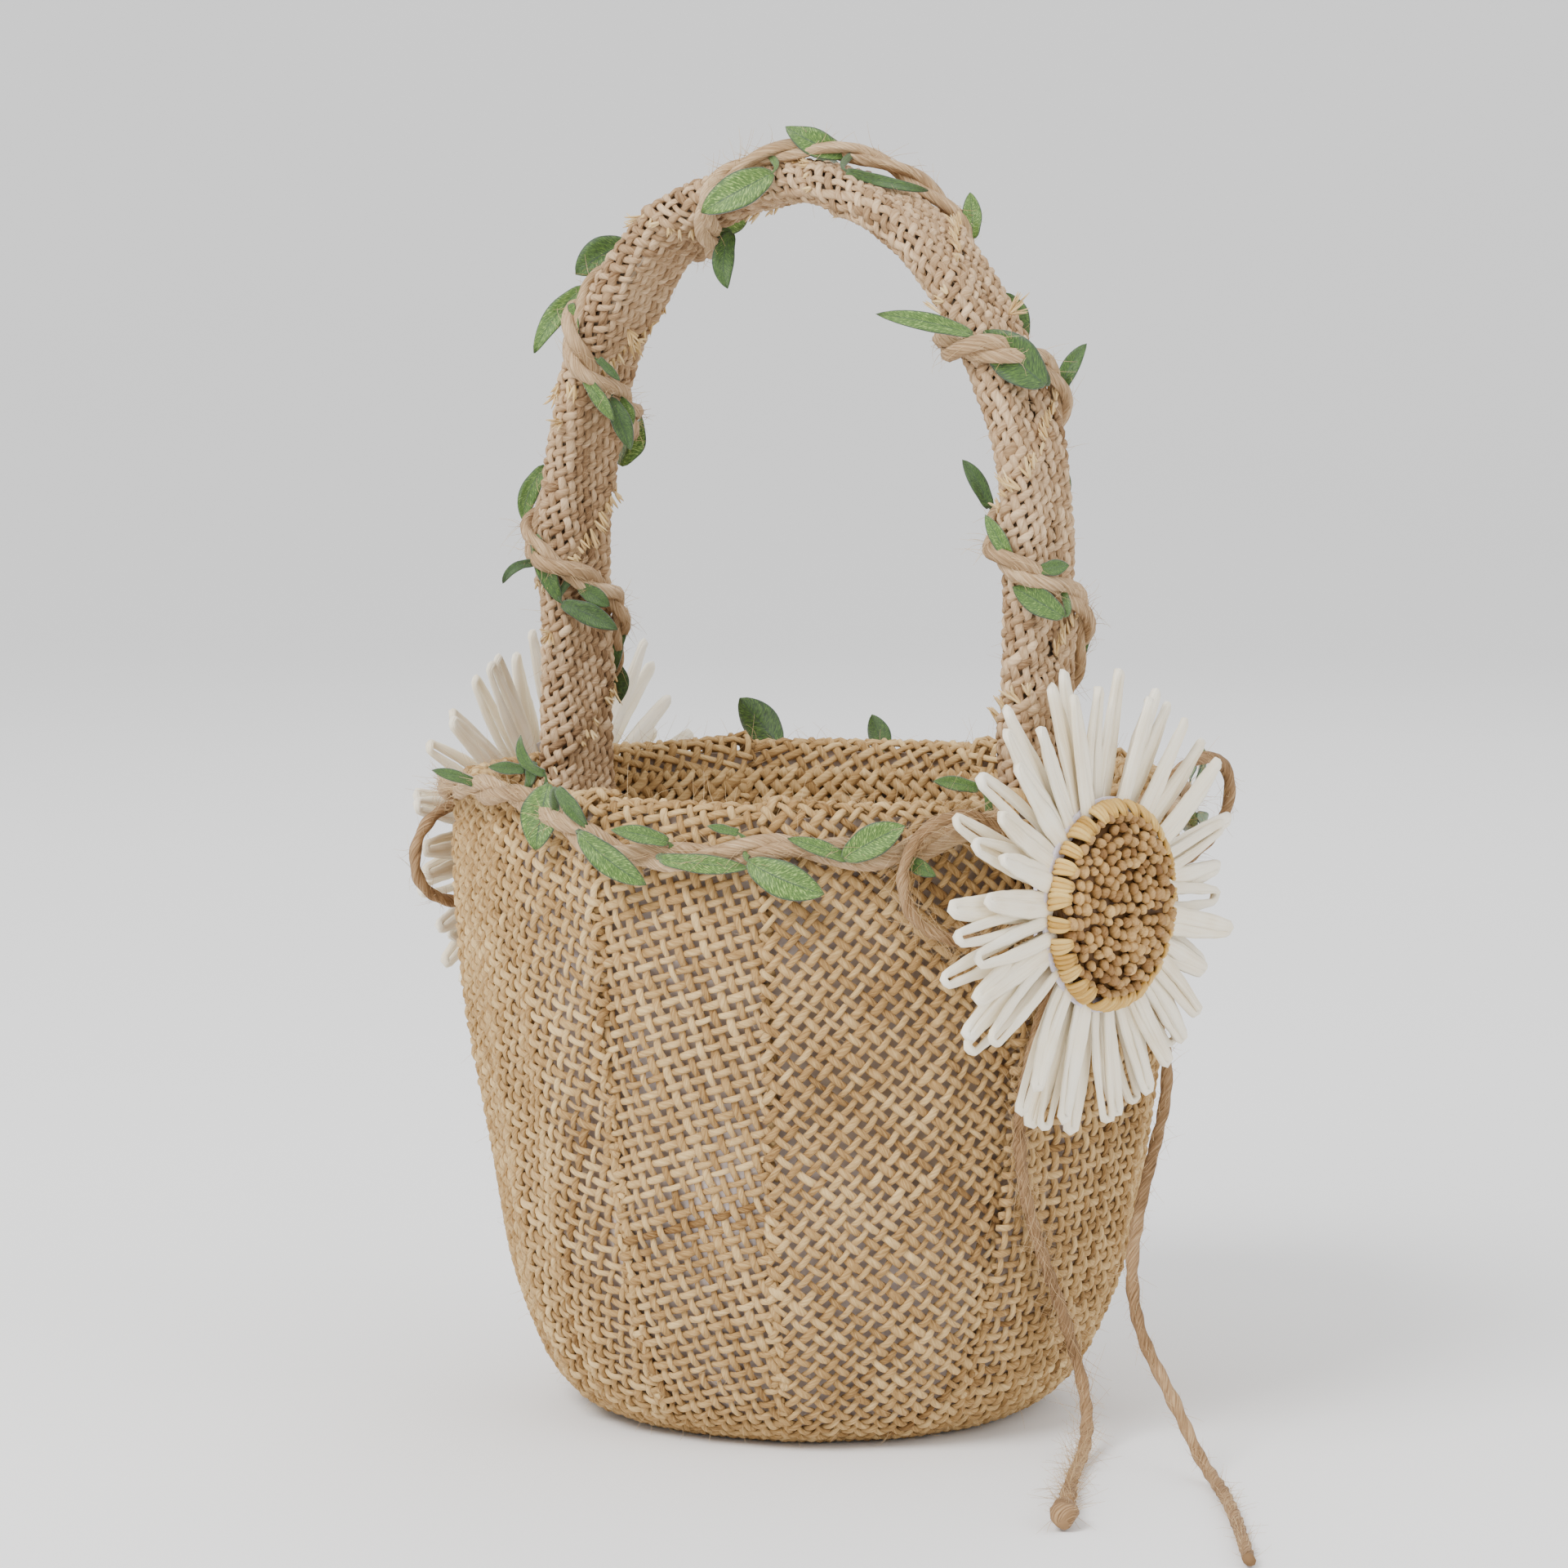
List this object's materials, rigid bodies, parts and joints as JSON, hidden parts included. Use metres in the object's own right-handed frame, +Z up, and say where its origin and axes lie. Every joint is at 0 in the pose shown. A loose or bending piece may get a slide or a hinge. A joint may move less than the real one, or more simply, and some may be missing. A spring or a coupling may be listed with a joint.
{
  "type": "flower girl basket",
  "caption": "Round burlap-covered bucket with a fixed hoop handle, leafy twine garlands on rim and handle, and a raffia daisy over a twine bow on each side.",
  "frame": {"origin": "centre of the flat base, on the surface the basket stands on", "axes": "+Z up the bucket's axis; the hoop handle stands in the XZ plane and the daisies face +X and -X; +Y completes the right-handed frame"},
  "size_m": [0.2084, 0.1423, 0.2356],
  "materials": {
    "burlap": "coarse plain-woven jute, wrinkled where it is eased round the bucket",
    "handle_burlap": "jute strip wound round the handle with frayed edges",
    "core": "pale grey moulded cup",
    "board": "plain board",
    "strip": "stiff flat strip",
    "twine": "hairy jute twine",
    "leaf": "satin ribbon leaves with a soft sheen",
    "raffia": "ivory paper raffia, folded flat",
    "seed_fibre": "golden brown looped fibre",
    "seed_edge": "ochre tufts",
    "collar": "thin pale felt",
    "glue": "set hot glue"
  },
  "bodies": {
    "root": {"base_board": "board", "bow_free_loop_left": "twine", "bow_free_loop_right": "twine", "bow_inner_tail_left": "twine", "bow_inner_tail_right": "twine", "bow_knot_left": "twine", "bow_knot_right": "twine", "bow_outer_tail_left": "twine", "bow_outer_tail_right": "twine", "bow_tail_knot_left": "twine", "bow_tail_knot_right": "twine", "bow_wall_loop_left": "twine", "bow_wall_loop_right": "twine", "bucket_core": "core", "flower_backing_left": "collar", "flower_backing_right": "collar", "flower_glue_left": "glue", "flower_glue_right": "glue", "handle_garland_leaves": "leaf", "handle_garland_twine": "twine", "handle_glue_left": "glue", "handle_glue_right": "glue", "handle_strip": "strip", "handle_wrap": "handle_burlap", "inner_lining": "burlap", "lining_floor": "burlap", "outer_cover": "burlap", "petals_back_left": "raffia", "petals_back_right": "raffia", "petals_front_left": "raffia", "petals_front_right": "raffia", "petals_middle_left": "raffia", "petals_middle_right": "raffia", "rim_garland_leaves_back": "leaf", "rim_garland_leaves_front": "leaf", "rim_garland_twine_back": "twine", "rim_garland_twine_front": "twine", "seed_border_left": "seed_edge", "seed_border_right": "seed_edge", "seed_collar_left": "collar", "seed_collar_right": "collar", "seed_knots_left": "seed_fibre", "seed_knots_right": "seed_fibre", "seed_pad_left": "seed_fibre", "seed_pad_right": "seed_fibre"}
  },
  "joints": []
}
